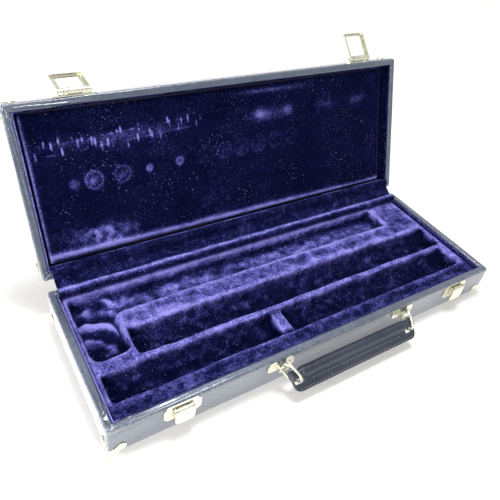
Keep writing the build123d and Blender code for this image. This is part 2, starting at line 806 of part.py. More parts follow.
# --- gusset -------------------------------------------------------------------------------------
# Centre line of the strip: up the tray's lining, over the rear rim, across to the lid and down.
gusset_y = rear_y - wall - lining_t - gusset_t / 2
gusset_crest = gusset_clear + gusset_t / 2
gusset_lap = bed_drop - gusset_clear
tray_run = (
    (gusset_y, tray_height - gusset_lap),
    (gusset_y, tray_height + gusset_crest),
    (rear_y - rim_r, tray_height + gusset_crest),
)
lid_run = tuple(opened(y, 2 * hinge_z - z) for y, z in reversed(tray_run))
gusset_line = (*tray_run, *lid_run)
with BuildPart() as gusset:
    for start, stop in zip(gusset_line, gusset_line[1:]):
        along = Vector(0, stop[0] - start[0], stop[1] - start[1])
        with BuildSketch(Plane(origin=(0, *start), x_dir=along, z_dir=(1, 0, 0))):
            with Locations((along.length / 2, 0)):
                Rectangle(along.length, gusset_t)
        extrude(amount=bed_length / 2 - gusset_clear, both=True)
    for y, z in gusset_line[1:-1]:
        with BuildSketch(Plane(origin=(0, y, z), x_dir=(0, 1, 0), z_dir=(1, 0, 0))):
            Circle(gusset_t / 2)
        extrude(amount=bed_length / 2 - gusset_clear, both=True)
save(gusset, "gusset")
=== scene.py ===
import json
from math import cos, pi, radians, sin

import bmesh
import bpy
import numpy as np
from mathutils import Matrix, Vector, noise

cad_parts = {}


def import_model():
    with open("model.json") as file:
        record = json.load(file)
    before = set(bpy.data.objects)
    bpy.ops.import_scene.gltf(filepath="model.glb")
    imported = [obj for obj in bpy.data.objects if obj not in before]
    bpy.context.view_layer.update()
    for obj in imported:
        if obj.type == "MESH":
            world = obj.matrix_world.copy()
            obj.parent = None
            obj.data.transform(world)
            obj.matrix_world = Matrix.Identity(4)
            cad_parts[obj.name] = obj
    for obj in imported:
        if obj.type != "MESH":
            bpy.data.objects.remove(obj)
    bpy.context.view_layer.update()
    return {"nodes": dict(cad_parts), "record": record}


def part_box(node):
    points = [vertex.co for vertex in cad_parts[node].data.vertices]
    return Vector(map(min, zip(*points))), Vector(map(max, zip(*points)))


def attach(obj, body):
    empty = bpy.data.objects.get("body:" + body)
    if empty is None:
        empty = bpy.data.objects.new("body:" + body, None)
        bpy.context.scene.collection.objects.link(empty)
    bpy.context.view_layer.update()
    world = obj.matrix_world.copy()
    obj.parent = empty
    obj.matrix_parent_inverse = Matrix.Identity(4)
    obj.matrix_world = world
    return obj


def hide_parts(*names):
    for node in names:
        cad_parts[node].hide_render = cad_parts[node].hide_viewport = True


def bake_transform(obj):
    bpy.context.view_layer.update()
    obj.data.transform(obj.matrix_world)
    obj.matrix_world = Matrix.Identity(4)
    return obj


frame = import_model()

# A hard-shell flute case, lid open. Everything is in metres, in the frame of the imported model:
# X along the case, +Y towards the hinges, Z up from the tray's underside.
MM = 0.001

# --- sizes read from the frame ------------------------------------------------------------------
tray_high = Vector(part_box("tray_cover")[1])
case_half_x = tray_high.x
case_half_y = tray_high.y
tray_height = tray_high.z
bed_high = Vector(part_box("bed_plush")[1])
bed_half_x = bed_high.x
bed_half_y = bed_high.y
bed_top = bed_high.z
pin_low, pin_high = (Vector(corner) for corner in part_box("hinge_pin_left"))
hinge = Vector((0, (pin_low.y + pin_high.y) / 2, (pin_low.z + pin_high.z) / 2))
wall_in = case_half_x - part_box("tray_wall_lining")[1][0]
lining_in = case_half_x - bed_half_x

# --- sizes of the dressed case ------------------------------------------------------------------
OPEN_ANGLE = radians(110.7)
LID_HEIGHT = 20.5 * MM
CORNER_R = 3.0 * MM
LEAST_CORNER_R = 0.25 * MM
EDGE_R = 2.0 * MM
SHELL_FLOOR = 3.8 * MM

rim_gap = 2 * (hinge.z - tray_height)
shut_lid = Matrix.Translation((0, 0, tray_height + rim_gap + LID_HEIGHT)) @ Matrix.Rotation(pi, 4, "X")
swing_open = Matrix.Translation(hinge) @ Matrix.Rotation(-OPEN_ANGLE, 4, "X") @ Matrix.Translation(-hinge)
# The lid is made like a tray, rim up, and turned over: in its own frame -Y is the hinge side.
LID = swing_open @ shut_lid
TRAY = Matrix.Identity(4)

# --- colours: linear red, green and blue --------------------------------------------------------
VINYL_DARK = (0.040, 0.051, 0.084)
VINYL_LIGHT = (0.064, 0.077, 0.118)
VINYL_DUST_AND_GLINT = (0.19, 0.21, 0.27)
VINYL_WORN = (0.27, 0.275, 0.29)
VINYL_GLINT = (0.66, 0.80, 1.0, 1)
PILE_DEEPEST = (0.0012, 0.0022, 0.0220)
PILE_DEEP = (0.0065, 0.0080, 0.0560)
PILE_MIDDLE = (0.0340, 0.0350, 0.1600)
PILE_LIGHT = (0.1080, 0.1030, 0.3900)
PILE_LIGHTEST = (0.2900, 0.2750, 0.7400)
PILE_PAINTED_GLINT = (0.17, 0.18, 0.36)
PILE_SHEEN = (0.28, 0.30, 1.0, 1)
NICKEL_DULL = (0.62, 0.61, 0.49)
NICKEL_BRIGHT = (0.76, 0.75, 0.64)
NICKEL_TARNISH = (0.34, 0.30, 0.19)
STEEL_DULL = (0.30, 0.28, 0.25)
STEEL_BRIGHT = (0.52, 0.50, 0.46)
POPLAR_DARK = (0.42, 0.28, 0.15)
POPLAR_LIGHT = (0.62, 0.45, 0.27)
PULP_PAINTED_SHADE_DARK = (0.010, 0.011, 0.022)
PULP_PAINTED_SHADE_LIGHT = (0.024, 0.026, 0.045)
THREAD_DARK = (0.11, 0.114, 0.125)
THREAD_LIGHT = (0.23, 0.235, 0.25)
PAPER_DARK = (0.81, 0.80, 0.775)
PAPER_LIGHT = (0.85, 0.84, 0.815)
PAPER_GLOW = (1.0, 0.99, 0.96, 1)


# --- materials ----------------------------------------------------------------------------------
class Nodes:
    """A material's node tree, with one short call for each kind of node."""

    def __init__(self, name):
        self.material = bpy.data.materials.new(name)
        self.material.use_nodes = True
        self.tree = self.material.node_tree
        self.shader = self.tree.nodes["Principled BSDF"]
        self.place = self.tree.nodes.new("ShaderNodeTexCoord").outputs["Object"]

    def node(self, kind, settings=None, **inputs):
        made = self.tree.nodes.new(kind)
        for key, value in (settings or {}).items():
            setattr(made, key, value)
        for key, value in inputs.items():
            self.put(made.inputs[key.replace("_", " ")], value)
        return made

    def put(self, socket, value):
        if isinstance(value, bpy.types.NodeSocket):
            self.tree.links.new(value, socket)
        else:
            socket.default_value = value

    def set(self, **inputs):
        for key, value in inputs.items():
            self.put(self.shader.inputs[key.replace("_", " ")], value)

    def stretched(self, x, y, z):
        return self.node("ShaderNodeMapping", Vector=self.place, Scale=(x, y, z)).outputs[0]

    def noise(self, size, detail=2.0, distortion=0.0, place=None):
        return self.node(
            "ShaderNodeTexNoise",
            Vector=place or self.place,
            Scale=1 / size,
            Detail=detail,
            Distortion=distortion,
        ).outputs["Fac"]

    def pebbles(self, size):
        """Soft round cells, as in the grain of leather."""
        settings = {"feature": "SMOOTH_F1"}
        cells = self.node("ShaderNodeTexVoronoi", settings, Vector=self.place, Scale=1 / size)
        return cells.outputs["Distance"]

    def cell_values(self, size):
        """One random grey for each small cell."""
        return self.node("ShaderNodeTexVoronoi", Vector=self.place, Scale=1 / size).outputs["Color"]

    def around(self, value, middle, gain):
        """A value measured from its middle, times a gain."""
        return self.math("MULTIPLY", self.math("SUBTRACT", value, middle), gain)

    def math(self, operation, a, b=0.0):
        made = self.node("ShaderNodeMath", {"operation": operation})
        self.put(made.inputs[0], a)
        self.put(made.inputs[1], b)
        return made.outputs[0]

    def steps(self, value, *stops):
        """A colour ramp through (position, colour) stops; a colour may be one grey number."""
        made = self.node("ShaderNodeValToRGB", Fac=value)
        ramp_stops = made.color_ramp.elements
        while len(ramp_stops) < len(stops):
            ramp_stops.new(0.5)
        for element, (position, colour) in zip(ramp_stops, stops):
            element.position = position
            grey = isinstance(colour, (int, float))
            element.color = (colour, colour, colour, 1) if grey else (*colour, 1)
        return made.outputs["Color"]

    def mix(self, amount, a, b):
        made = self.node("ShaderNodeMix", {"data_type": "RGBA"})
        self.put(made.inputs[0], amount)
        self.put(made.inputs[6], a if isinstance(a, bpy.types.NodeSocket) else (*a, 1))
        self.put(made.inputs[7], b if isinstance(b, bpy.types.NodeSocket) else (*b, 1))
        return made.outputs[2]

    def attribute(self, name):
        return self.node("ShaderNodeAttribute", {"attribute_name": name}).outputs["Fac"]

    def bump(self, height, depth, strength=1.0, after=None):
        made = self.node("ShaderNodeBump", Height=height, Distance=depth, Strength=strength)
        if after:
            self.put(made.inputs["Normal"], after)
        return made.outputs[0]


def shaded(colour, shade):
    return tuple(shade * value for value in colour)


def vinyl_material(name="vinyl_cloth", shade=1.0, gloss=1.0):
    """Grained vinyl; shade scales its colour and gloss its top coat. The wear attribute rubs it."""
    n = Nodes(name)
    blotch = n.noise(26 * MM, 4, 0.4)
    pores = n.noise(0.45 * MM, 2)
    rub = n.math("MULTIPLY", n.noise(1.8 * MM, 5, 0.8), n.attribute("wear"))
    # Light specks on the grain: partly dust, partly painted glints of the grain.
    dust_and_glint = shaded(VINYL_DUST_AND_GLINT, shade)
    colour = n.steps(blotch, (0.35, shaded(VINYL_DARK, shade)), (0.65, shaded(VINYL_LIGHT, shade)))
    colour = n.mix(n.steps(pores, (0.50, 0.0), (0.74, 0.30)), colour, dust_and_glint)
    colour = n.mix(n.steps(n.cell_values(0.9 * MM), (0.72, 0.0), (0.95, 0.55)), colour, dust_and_glint)
    colour = n.mix(n.steps(rub, (0.40, 0.0), (0.62, 0.85)), colour, VINYL_WORN)
    n.set(Base_Color=colour, Metallic=0.0, IOR=1.5)
    n.set(Specular_IOR_Level=0.8 * gloss, Specular_Tint=VINYL_GLINT)
    patch = n.math("ADD", blotch, n.math("MULTIPLY", pores, 0.25))
    n.set(Roughness=n.steps(patch, (0.40, 0.26), (0.85, 0.42)))
    n.set(Coat_Weight=0.8 * gloss, Coat_Roughness=0.16, Coat_IOR=1.6)
    leather = n.bump(n.pebbles(0.85 * MM), 0.22 * MM, 0.75)
    n.set(Normal=n.bump(pores, 0.06 * MM, 0.6, leather))
    return n.material


def velvet_material(name="velvet_pile", marked=False):
    """Crushed pile. One attribute sets how light the pile is, from its own tone and marks and from
    painted highlight and painted shade; ruffle says how far it is crushed.
    """
    n = Nodes(name)
    crush = n.around(n.noise(12 * MM, 5, 0.9), 0.5, 1.5)
    streak = n.around(n.noise(7 * MM, 4, 0.5, n.stretched(0.30, 1.0, 1.0)), 0.5, 0.9)
    lay = n.math("MULTIPLY", n.math("ADD", crush, streak), n.attribute("ruffle"))
    speck = n.around(n.cell_values(0.95 * MM), 0.5, 0.26)
    tuft = n.around(n.noise(1.6 * MM, 3), 0.5, 0.60)
    lay = n.math("ADD", n.math("ADD", lay, speck), n.math("ADD", tuft, n.attribute("pile_and_painted_light")))
    if marked:
        cloud = n.around(n.noise(55 * MM, 3), 0.5, 0.45)
        lay = n.math("ADD", lay, n.math("ADD", cloud, key_strokes(n)))
    colour = n.steps(
        lay,
        (0.18, PILE_DEEPEST),
        (0.36, PILE_DEEP),
        (0.54, PILE_MIDDLE),
        (0.72, PILE_LIGHT),
        (0.95, PILE_LIGHTEST),
    )
    # Small light flecks, gathered in bunches: painted glints of the pile.
    bunch = n.steps(n.noise(38 * MM, 3), (0.44, 0.10), (0.60, 0.85))
    painted_glint = n.steps(n.cell_values(0.85 * MM), (0.86, 0.0), (0.95, 1.0))
    colour = n.mix(n.math("MULTIPLY", painted_glint, bunch), colour, PILE_PAINTED_GLINT)
    n.set(Base_Color=colour, Metallic=0.0, Roughness=0.9, Specular_IOR_Level=0.04)
    n.set(Sheen_Weight=0.2, Sheen_Roughness=0.30, Sheen_Tint=PILE_SHEEN)
    brushed = n.bump(lay, 1.2 * MM, 0.4)
    n.set(Normal=n.bump(n.noise(0.7 * MM, 2), 0.4 * MM, 0.8, brushed))
    return n.material


def key_strokes(n):
    """Short upright strokes between two broken lines, where the keys press the pad."""
    row_height = 40 * MM
    row_slope = 0.045
    pitch = 5.6 * MM
    scatter = 18 * MM
    stroke_reach = 10 * MM
    line_reach = 4 * MM
    along = n.attribute("along")
    row = n.math("ADD", n.math("MULTIPLY", along, row_slope), row_height)
    across = n.math("SUBTRACT", n.attribute("across"), row)
    settings = {"voronoi_dimensions": "1D"}
    strokes = n.node("ShaderNodeTexVoronoi", settings, W=along, Scale=1 / pitch).outputs
    thin = n.steps(strokes["Distance"], (0.05, 1.0), (0.24, 0.0))
    own_height = n.around(strokes["Color"], 0.5, scatter)
    off = n.math("ABSOLUTE", n.math("SUBTRACT", across, own_height))
    tall = n.steps(n.math("DIVIDE", off, stroke_reach), (0.16, 1.0), (0.46, 0.0))
    broken = n.steps(n.noise(7 * MM, 3), (0.38, 0.12), (0.62, 0.86))
    marks = n.math("MULTIPLY", n.math("MULTIPLY", thin, tall), broken)
    for height, dash_size in ((-4.5 * MM, 11 * MM), (3.5 * MM, 8 * MM)):
        away = n.math("ABSOLUTE", n.math("SUBTRACT", across, height))
        line = n.steps(n.math("DIVIDE", away, line_reach), (0.08, 1.0), (0.34, 0.0))
        dashes = n.steps(n.noise(dash_size, 2), (0.46, 0.0), (0.66, 0.30))
        marks = n.math("ADD", marks, n.math("MULTIPLY", line, dashes))
    return n.math("MULTIPLY", marks, n.attribute("keyed"))


def nickel_material():
    n = Nodes("nickel_plate")
    cloud = n.noise(5 * MM, 4, 0.8)
    spots = n.noise(1.1 * MM, 3)
    scratch = n.noise(0.5 * MM, 2, 0.0, n.stretched(0.12, 1.0, 1.0))
    plate = n.steps(cloud, (0.35, NICKEL_DULL), (0.65, NICKEL_BRIGHT))
    tarnish = n.steps(n.math("MULTIPLY", spots, cloud), (0.30, 0.0), (0.44, 0.75))
    n.set(Base_Color=n.mix(tarnish, plate, NICKEL_TARNISH), Metallic=1.0)
    n.set(Roughness=n.steps(n.math("ADD", cloud, scratch), (0.7, 0.16), (1.3, 0.34)))
    n.set(Normal=n.bump(scratch, 0.02 * MM, 0.35))
    return n.material


def steel_material():
    n = Nodes("steel_pin")
    cloud = n.noise(2.5 * MM, 3)
    n.set(Base_Color=n.steps(cloud, (0.35, STEEL_DULL), (0.7, STEEL_BRIGHT)), Metallic=1.0)
    n.set(Roughness=n.steps(cloud, (0.3, 0.28), (0.7, 0.45)))
    n.set(Normal=n.bump(n.noise(0.3 * MM, 2), 0.02 * MM, 0.4))
    return n.material


def wood_material():
    n = Nodes("poplar_board")
    grain = n.noise(3 * MM, 4, 1.5, n.stretched(0.06, 1.0, 1.0))
    n.set(Base_Color=n.steps(grain, (0.35, POPLAR_DARK), (0.65, POPLAR_LIGHT)), Roughness=0.75)
    n.set(Normal=n.bump(grain, 0.2 * MM, 0.4))
    return n.material


def pulp_material():
    """Card coloured near black, which shows as a thin line where the velvet ends: painted shade in that
    gap.
    """
    n = Nodes("pulp_board_painted_shade")
    fibre = n.noise(0.9 * MM, 4)
    n.set(Base_Color=n.steps(fibre, (0.35, PULP_PAINTED_SHADE_DARK), (0.65, PULP_PAINTED_SHADE_LIGHT)), Roughness=0.95)
    n.set(Normal=n.bump(fibre, 0.2 * MM, 0.6))
    return n.material


def thread_material():
    n = Nodes("waxed_thread")
    twist = n.noise(0.35 * MM, 2, 0.0, n.stretched(1.0, 0.4, 0.4))
    n.set(Base_Color=n.steps(twist, (0.35, THREAD_DARK), (0.65, THREAD_LIGHT)), Roughness=0.6)
    n.set(Normal=n.bump(twist, 0.08 * MM, 0.7))
    return n.material


vinyl = vinyl_material()
grip_finish = vinyl_material("grip_cloth", shade=0.45, gloss=0.35)
velvet = velvet_material()
pad_velvet = velvet_material("pad_pile", marked=True)
nickel = nickel_material()
thread = thread_material()
finish_of_slot = {
    "vinyl": vinyl,
    "velvet": velvet,
    "nickel": nickel,
    "steel": steel_material(),
    "wood": wood_material(),
    "pulp": pulp_material(),
}


def dress_frame():
    """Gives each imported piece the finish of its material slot."""
    slots = {piece["node"]: piece["material_slot"] for piece in frame["record"]["subparts"]}
    for name, piece in frame["nodes"].items():
        finish = finish_of_slot[slots[name]]
        if piece.material_slots:
            for material_slot in piece.material_slots:
                material_slot.material = finish
        else:
            piece.data.materials.append(finish)


# --- mesh helpers -------------------------------------------------------------------------------
def placed(name, data):
    """A new object in the scene."""
    made = bpy.data.objects.new(name, data)
    bpy.context.scene.collection.objects.link(made)
    return made


def add_mesh(name, points, faces, finish):
    mesh = bpy.data.meshes.new(name)
    mesh.from_pydata([tuple(point) for point in points], [], faces)
    mesh.update()
    piece = placed(name, mesh)
    mesh.materials.append(finish)
    mesh.shade_smooth()
    return piece


def coordinates(mesh):
    flat = np.empty(len(mesh.vertices) * 3)
    mesh.vertices.foreach_get("co", flat)
    return flat.reshape(-1, 3)


def normals_of(mesh):
    flat = np.empty(len(mesh.vertices) * 3)
    mesh.vertex_normals.foreach_get("vector", flat)
    return flat.reshape(-1, 3)


def move_points(mesh, points):
    mesh.vertices.foreach_set("co", np.ascontiguousarray(points).ravel())
    mesh.update()


def ripple(points, size, seed=0.0):
    """Smooth noise, about -1 to 1, with features of that size; size may be one number or three."""
    spots = points / np.array(size) + np.array((17.3, 7.1, 3.7)) * seed
    return np.array([noise.noise(Vector(spot)) for spot in spots])


def hump(value, centre, spread):
    """A bell of height 1."""
    return np.exp(-(((value - centre) / spread) ** 2))


def ramp(value, start, length):
    """0 up to start, then even to 1 at start + length. A negative length runs the other way."""
    return np.clip((value - start) / length, 0, 1)


def past(value, edge, width):
    """A soft step from 0 before the edge to 1 after it. A negative width turns it round."""
    return 1 / (1 + np.exp((edge - value) / width))


def relief(mesh, rounds):
    """How far each point stands out from the blurred surface, in millimetres: hollows are below 0."""
    points = coordinates(mesh)
    ends = np.empty(len(mesh.edges) * 2, dtype=np.int64)
    mesh.edges.foreach_get("vertices", ends)
    one, other = ends.reshape(-1, 2).T
    count = len(points)
    links = np.bincount(one, minlength=count) + np.bincount(other, minlength=count)
    blurred = points.copy()
    for _ in range(rounds):
        for axis in range(3):
            values = blurred[:, axis]
            total = np.bincount(one, values[other], count) + np.bincount(other, values[one], count)
            blurred[:, axis] = total / links
    return ((points - blurred) * normals_of(mesh)).sum(axis=1) / MM


def set_attribute(mesh, name, values):
    """A number on each point; one number alone goes on all of them."""
    layer = mesh.attributes.new(name, "FLOAT", "POINT")
    spread = np.broadcast_to(values, len(mesh.vertices))
    layer.data.foreach_set("value", np.ascontiguousarray(spread, dtype=np.float32))


def apply_modifiers(piece):
    """Puts what the modifiers make into the mesh itself."""
    graph = bpy.context.evaluated_depsgraph_get()
    made = bpy.data.meshes.new_from_object(piece.evaluated_get(graph))
    old = piece.data
    name = old.name
    piece.modifiers.clear()
    piece.data = made
    bpy.data.meshes.remove(old)
    made.name = name


def even_out(piece, voxel):
    """Remakes the piece as one closed mesh of even faces."""
    even = piece.modifiers.new("even", "REMESH")
    even.mode = "VOXEL"
    even.voxel_size = voxel
    apply_modifiers(piece)


def remeshed(name, node_names, voxel, finish):
    """One closed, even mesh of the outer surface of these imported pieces."""
    joined = bmesh.new()
    for node_name in node_names:
        joined.from_mesh(frame["nodes"][node_name].data)
    mesh = bpy.data.meshes.new(name)
    joined.to_mesh(mesh)
    joined.free()
    piece = placed(name, mesh)
    even_out(piece, voxel)
    piece.data.materials.clear()
    piece.data.materials.append(finish)
    piece.data.shade_smooth()
    return piece


def smooth(piece, rounds, group=""):
    blur = piece.modifiers.new("blur", "SMOOTH")
    blur.factor = 0.5
    blur.iterations = rounds
    blur.vertex_group = group
    apply_modifiers(piece)


def rounded_ring(inset, spacing):
    """Points round the case's outline, that far in from it, the same number at every inset."""
    corner_steps = 8
    radius = max(CORNER_R - inset, LEAST_CORNER_R)
    centre_x = case_half_x - inset - radius
    centre_y = case_half_y - inset - radius
    count_x = round(2 * case_half_x / spacing)
    count_y = round(2 * case_half_y / spacing)
    points = []
    for turn, (side_x, side_y) in enumerate(((1, 1), (-1, 1), (-1, -1), (1, -1))):
        for step in range(corner_steps + 1):
            angle = pi / 2 * (turn + step / corner_steps)
            x = centre_x * side_x + radius * cos(angle)
            y = centre_y * side_y + radius * sin(angle)
            points.append((x, y))
        run, steps = (centre_y, count_y) if turn % 2 else (centre_x, count_x)
        heading = Vector((-sin(pi / 2 * (turn + 1)), cos(pi / 2 * (turn + 1))))
        start = Vector(points[-1])
        for step in range(1, steps):
            points.append(tuple(start + heading * 2 * run * step / steps))
    return points


def swept(name, profile, finish, spacing, capped=True):
    """A closed form that follows the case's outline; profile holds (inset, height) pairs."""
    rings = [[(*point, height) for point in rounded_ring(inset, spacing)] for inset, height in profile]
    count = len(rings[0])
    points = [point for ring in rings for point in ring]
    faces = []
    for row in range(len(rings) - 1 if capped else len(rings)):
        this = row * count
        after = (row + 1) % len(rings) * count
        for step in range(count):
            beyond = (step + 1) % count
            faces.append((this + step, this + beyond, after + beyond, after + step))
    if capped:
        faces.append(tuple(reversed(range(count))))
        last = (len(rings) - 1) * count
        faces.append(tuple(last + step for step in range(count)))
    return add_mesh(name, points, faces, finish)


def arc(centre, radius, start, end, steps):
    """Points of an arc in a profile; angles in degrees."""
    turns = [radians(start + (end - start) * step / steps) for step in range(steps + 1)]
    return [(centre[0] + radius * cos(turn), centre[1] + radius * sin(turn)) for turn in turns]


def add_tube(points, faces, rows, sides, side, other):
    """A closed tube on these (middle, radius) rows; side and other span its round."""
    start = len(points)
    for middle, radius in rows:
        for step in range(sides):
            turn = 2 * pi * step / sides
            points.append(middle + (side * cos(turn) + other * sin(turn)) * radius)
    for row in range(len(rows) - 1):
        for step in range(sides):
            this = start + row * sides + step
            beside = start + row * sides + (step + 1) % sides
            faces.append((this, beside, beside + sides, this + sides))
    last = start + (len(rows) - 1) * sides
    faces.append(tuple(start + step for step in reversed(range(sides))))
    faces.append(tuple(last + step for step in range(sides)))


# --- vinyl covers -------------------------------------------------------------------------------
SOFT_RIM_R = 2.1 * MM
SOFT_INNER_R = 1.5 * MM
INNER_LAP = 4 * MM
RIM_BAND = 2.2 * MM
# How far the cloth may stand out from its boards, and lie below its plain form.
MOST_ON_RIM = 0.17 * MM
MOST_ON_WALL = 0.38 * MM
MOST_SUNK = 0.52 * MM
MOST_SUNK_AT_EDGE = 0.12 * MM
# The looser corners of each shell: which corner, how far its folds reach, and how deep they are.
TRAY_SLACK = (
    ((-1, -1), 34 * MM, 0.60 * MM),
    ((1, -1), 18 * MM, 0.25 * MM),
    ((-1, 1), 14 * MM, 0.25 * MM),
)
LID_SLACK = (
    ((-1, 1), 62 * MM, 0.75 * MM),
    ((1, 1), 22 * MM, 0.25 * MM),
    ((-1, -1), 18 * MM, 0.25 * MM),
)


def cover_profile(height):
    """(inset, height) from the underside, up the wall, over the rim and down inside."""
    wall_rows = 9
    rim_rows = 12
    wall_end = height - SOFT_RIM_R
    rim_end = wall_in - SOFT_INNER_R
    wall_run = wall_end - EDGE_R
    rim_run = rim_end - SOFT_RIM_R
    profile = arc((EDGE_R, EDGE_R), EDGE_R, 270, 180, 6)
    profile += [(0, EDGE_R + wall_run * step / wall_rows) for step in range(1, wall_rows)]
    profile += arc((SOFT_RIM_R, wall_end), SOFT_RIM_R, 180, 90, 7)
    profile += [(SOFT_RIM_R + rim_run * step / rim_rows, height) for step in range(1, rim_rows)]
    profile += arc((rim_end, height - SOFT_INNER_R), SOFT_INNER_R, 90, 0, 6)
    profile += [(wall_in, height - INNER_LAP), (wall_in, SHELL_FLOOR)]
    return profile


def folds_at(points, height, corner, reach, seed):
    """Slack cloth by one corner of the rim: folds that fan round the corner and run on along the rim."""
    fold_width = 1.9 * MM
    widening = 0.03
    folds_in_fan = 3.4
    below_mean = 0.45
    x, y, z = points.T
    from_corner = np.hypot(x - corner[0] * case_half_x, y - corner[1] * case_half_y)
    side = np.abs(np.abs(y) - case_half_y)
    end = np.abs(np.abs(x) - case_half_x)
    inset = np.minimum(case_half_x - np.abs(x), case_half_y - np.abs(y))
    along_rim = inset / (fold_width + widening * from_corner)
    round_corner = folds_in_fan * np.arctan2(side, end)
    far = ramp(from_corner, 6 * MM, 12 * MM)
    fan = far * along_rim + (1 - far) * round_corner
    wander = 2.6 * ripple(points, (34 * MM, 34 * MM, 9 * MM), seed)
    waves = np.sin(2 * pi * fan + wander + seed) - below_mean
    top = ramp(z, height - 5 * MM, 3 * MM)
    return waves * hump(from_corner, 0, reach) * ramp(from_corner, 0, 4 * MM) * top


def drape(points, height, seed, slack):
    """How far each point of a cover lies out from the plain form, in metres."""
    x, y, z = points.T
    from_end = case_half_x - np.abs(x)
    from_side = case_half_y - np.abs(y)
    from_corner = np.hypot(from_end, from_side)
    up = ramp(z, height - 6 * MM, 6 * MM)
    rim = ramp(z, height - RIM_BAND, 1.5 * MM)
    # Short gathers cross the rim beside each corner.
    along = np.where(from_end < from_side, y, x)
    gathers = np.sin(along / (0.9 * MM) + 2.4 * ripple(points, 8 * MM, seed))
    gathers *= np.clip(ripple(points, 6 * MM, seed + 1) + 0.4, 0, 1)
    out = 0.26 * MM * gathers * np.exp(-from_corner / (8 * MM)) * up
    for corner, reach, depth in slack:
        out += depth * folds_at(points, height, corner, reach, seed + corner[0] + 2 * corner[1])
    out += 0.16 * MM * ripple(points, (30 * MM, 30 * MM, 6 * MM), seed + 2)
    out += 0.08 * MM * ripple(points, 4.5 * MM, seed + 3) * (0.4 + up)
    # The cloth is cut and lapped along the mitre at each rim corner.
    mitre = from_end - from_side
    lap = (past(mitre, 0, 0.18 * MM) - 0.5) * np.exp(-np.abs(mitre) / (2.5 * MM))
    out += (0.40 * MM * lap - 0.25 * MM * hump(mitre, 0, 0.30 * MM)) * rim
    # The board's outer edge lies just under the cloth, so it can't sink far there.
    at_edge = hump(np.minimum(from_end, from_side), 0.9 * MM, 1.3 * MM) * up
    sunk = MOST_SUNK + (MOST_SUNK_AT_EDGE - MOST_SUNK) * at_edge
    # The two rims meet when the case is shut, so the cloth rises little on top of them.
    on_top = z > height - 1.2 * MM
    most = np.where(on_top, MOST_ON_RIM, MOST_ON_WALL * (0.4 + 0.6 * up))
    return np.clip(out, -sunk, most)


def cover_wear(points, height):
    """The cloth is rubbed most at the corners and along the lower and upper edges."""
    x, y, z = points.T
    from_end = case_half_x - np.abs(x)
    from_side = case_half_y - np.abs(y)
    corner_wear = np.exp(-np.hypot(from_end, from_side) / (10 * MM))
    outermost = np.minimum(from_end, from_side) < 1.4 * MM
    edge = outermost & ((z > height - RIM_BAND) | (z < RIM_BAND))
    return np.clip(0.45 + 0.45 * corner_wear + 0.40 * edge, 0, 1.3)


def cover(name, height, body, plane, node_name, seed, slack):
    """The vinyl cloth over one shell, turned over its rim."""
    piece = swept(name, cover_profile(height), vinyl, 1.5 * MM)
    mesh = piece.data
    points = coordinates(mesh)
    out = drape(points, height, seed, slack)
    move_points(mesh, points + normals_of(mesh) * out[:, None])
    set_attribute(mesh, "wear", cover_wear(points, height))
    mesh.transform(plane)
    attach(piece, body)
    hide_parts(node_name)


# --- velvet linings -----------------------------------------------------------------------------
LINING_DROP = 1.5 * MM
LINING_GAP = 0.03 * MM
LINING_ROWS = 8
LINING_RUFFLE = 0.4


def wall_lining(name, height, body, plane, node_name, seed, pile_and_painted_light):
    """Velvet turned over a strip of card that stands on the inside of the walls."""
    top = height - LINING_DROP
    roll = (lining_in - wall_in) / 2
    middle = (lining_in + wall_in) / 2
    foot = SHELL_FLOOR + 1 * MM
    high = top - roll
    face = foot - high
    profile = [(wall_in + LINING_GAP, foot)]
    profile += arc((middle, high), roll * 0.98, 180, 0, 8)
    profile += [(lining_in, high + face * step / LINING_ROWS) for step in range(1, LINING_ROWS + 1)]
    piece = swept(name, profile, velvet, 1.6 * MM, capped=False)
    mesh = piece.data
    points = coordinates(mesh)
    normals = normals_of(mesh)
    x, y, z = points.T
    up = ramp(z, top - 6 * MM, 6 * MM)
    points[:, 2] += 0.35 * MM * ripple(points, (16 * MM, 16 * MM, 400 * MM), seed) * up
    soft = 0.22 * ripple(points, 6 * MM, seed + 1) + 0.10 * ripple(points, 2.2 * MM, seed + 2) - 0.15
    inward = np.minimum(case_half_x - np.abs(x), case_half_y - np.abs(y)) > middle
    points += normals * (soft * inward * MM)[:, None]
    move_points(mesh, points)
    # Painted highlight along the crest, most of all at the left end.
    crest = ramp(z, top - 1.8 * MM, 1.4 * MM)
    left = past(x, 8 * MM - case_half_x, -1.5 * MM)
    set_attribute(mesh, "pile_and_painted_light", pile_and_painted_light + crest * (0.6 * pile_and_painted_light + 0.95 * left))
    set_attribute(mesh, "ruffle", LINING_RUFFLE)
    mesh.transform(plane)
    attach(piece, body)
    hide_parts(node_name)


# --- the bed: x, y, z and all that is measured with them are in millimetres ---------------------
BED_VOXEL = 1.45 * MM
BED_RUFFLE = 0.46
POCKET_RUFFLE = 0.38
BED_SIDE_X = 190.5
BED_SIDE_Y = 62.5
POCKET_RIGHT = -151
POCKET_FRONT = -22
BACK_RIDGE_Y = 46
BACK_RIDGE_LEFT = -150
BACK_RIDGE_RIGHT = 152
FRONT_GROOVE_Y = -35.5
FRONT_LEDGE_Y = -50


def bed():
    """The moulded bed under its velvet, with the loose folds in the pocket at its left end."""
    piece = remeshed("bed_velvet", ("bed_core", "bed_plush"), BED_VOXEL, velvet)
    smooth(piece, 9)
    slacken_pocket(piece)
    crush_bed(piece.data)
    smooth(piece, 3)
    paint_bed_light_and_ruffle(piece.data)
    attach(piece, "tray")
    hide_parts("bed_plush", "bed_core")


def slacken_pocket(piece):
    """The loose cloth over the pocket hides the sharp turns of its walls."""
    x, y, z = (coordinates(piece.data) / MM).T
    share = ramp(x, -149, -6) * ramp(y, -20, 6) * (z > 4)
    share *= ramp(np.abs(x), 190, -4) * ramp(np.abs(y), 62, -4)
    group = piece.vertex_groups.new(name="pocket")
    for index in np.flatnonzero(share):
        group.add([int(index)], share[index], "REPLACE")
    smooth(piece, 60, "pocket")


